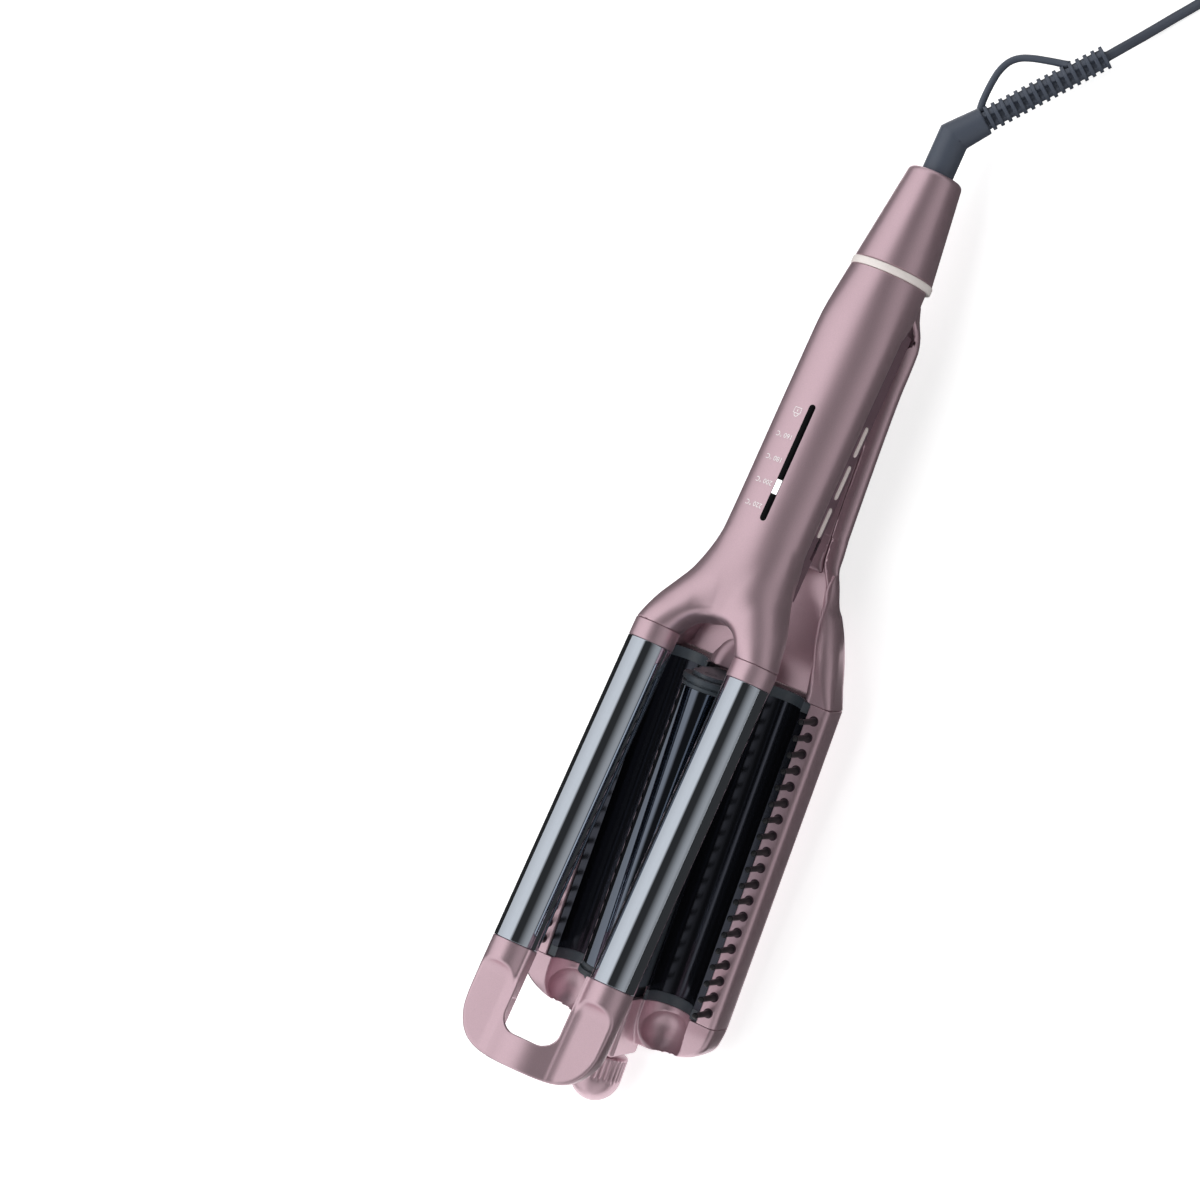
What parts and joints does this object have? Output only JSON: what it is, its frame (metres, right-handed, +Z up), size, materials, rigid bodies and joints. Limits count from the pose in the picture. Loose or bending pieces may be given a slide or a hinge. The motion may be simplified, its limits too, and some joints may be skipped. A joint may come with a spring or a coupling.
{
  "type": "hair waver",
  "caption": "Hair waver: two upper barrels on a hinged arm close over a heated base with troughs, bristle combs and a centre barrel that a knob lifts.",
  "frame": {"origin": "on the table, below the middle of the waver's own box (cord, relief, loop and plug left out)", "axes": "+X from the cord towards the tip, +Y towards the side with the buttons, +Z up; the waver stands open on its lower arm"},
  "size_m": [0.6086, 0.1422, 0.1006],
  "materials": {
    "rose": "rose pearl paint on moulded plastic, satin gloss",
    "trim": "off-white moulded ring, gloss",
    "button": "champagne coated push button",
    "lock": "dark rose slider",
    "window": "smoked black display window",
    "led": "lit white segment",
    "barrel": "aluminium tube with a polished dark tourmaline coating",
    "trough": "pressed aluminium plate with a polished dark coating",
    "bezel": "dark grey heat-resistant plastic",
    "bristle": "black heat-resistant plastic, slightly glossy tips",
    "inner": "dark structural plastic",
    "board": "green circuit board with its components",
    "heater": "ceramic heating element in an aluminium carrier",
    "steel": "plain steel",
    "cord_grey": "slate grey plastic",
    "cord_rubber": "slate grey flexible cord cover",
    "plug_pin": "nickel-plated brass"
  },
  "bodies": {
    "root": {"upper_shell": "rose", "inner_frame": "rose", "led_window": "window", "led_light": "led", "display_board": "board", "main_board": "board", "button_board": "board", "barrel_collars": "rose", "upper_barrel_left": "barrel", "upper_barrel_right": "barrel", "barrel_heater_left": "heater", "barrel_heater_right": "heater", "tip_bridge": "rose", "rear_cone": "rose", "trim_ring": "trim", "hinge_block": "inner", "hinge_pin": "steel", "arm_spring": "steel", "power_cord": "cord_rubber", "cord_coil": "cord_rubber", "cord_tail": "cord_rubber", "cord_tie": "cord_grey", "plug_body": "cord_grey", "plug_pins": "plug_pin"},
    "lower_arm": {"lower_shell": "rose", "inner_cover": "rose", "hinge_bracket": "steel", "base_channel": "rose", "trough_left": "trough", "trough_right": "trough", "rear_bezels": "bezel", "front_bezels": "bezel", "comb_left": "bristle", "comb_right": "bristle", "trough_heaters": "heater", "tip_cap": "rose", "guide_rods": "steel", "cover_screws": "steel"},
    "centre_barrel": {"centre_barrel": "barrel", "centre_caps": "bezel", "centre_heater": "heater", "lift_carriage": "bezel"},
    "knob": {"adjust_knob": "rose", "knob_shaft": "steel"},
    "swivel": {"swivel_elbow": "cord_grey", "strain_relief": "cord_rubber", "hanging_loop": "cord_grey"},
    "power_button": {"power_button": "button"},
    "minus_button": {"minus_button": "button"},
    "plus_button": {"plus_button": "button"},
    "lock_slider": {"lock_slider": "lock"}
  },
  "joints": [
    {"name": "arm_hinge", "type": "hinge", "parent": "root", "child": "lower_arm", "pos_m": [-0.1406, 0, 0.02811], "axis": [0, -1, 0], "range_deg": [0, 12.5], "stiffness_Nm_per_rad": 0.6, "springref_deg": -57.3, "deforming": ["arm_spring"]},
    {"name": "power_button_press", "type": "slide", "parent": "root", "child": "power_button", "axis": [0, -1, 0], "range_m": [0, 0.0006], "stiffness_N_per_m": 300, "springref_m": -0.001},
    {"name": "minus_button_press", "type": "slide", "parent": "root", "child": "minus_button", "axis": [0, -1, 0], "range_m": [0, 0.0006], "stiffness_N_per_m": 300, "springref_m": -0.001},
    {"name": "plus_button_press", "type": "slide", "parent": "root", "child": "plus_button", "axis": [0, -1, 0], "range_m": [0, 0.0006], "stiffness_N_per_m": 300, "springref_m": -0.001},
    {"name": "lock_slide", "type": "slide", "parent": "root", "child": "lock_slider", "axis": [0.9907, 0, 0.1357], "range_m": [0, 0.0035]},
    {"name": "knob_turn", "type": "hinge", "parent": "lower_arm", "child": "knob", "pos_m": [0.1865, 0, 0.01225], "axis": [-0.9966, 0, 0.0819], "range_deg": [0, 180]},
    {"name": "centre_lift", "type": "slide", "parent": "lower_arm", "child": "centre_barrel", "axis": [-0.0819, 0, -0.9966], "range_m": [0, 0.00942]},
    {"name": "cord_swivel", "type": "hinge", "parent": "root", "child": "swivel", "pos_m": [-0.17726, 0, 0.02308], "axis": [0.9907, 0, 0.1357], "continuous": true}
  ],
  "couplings": [
    {"joint": "knob_turn", "follows": "centre_lift", "rad_per_m": 333.33}
  ]
}
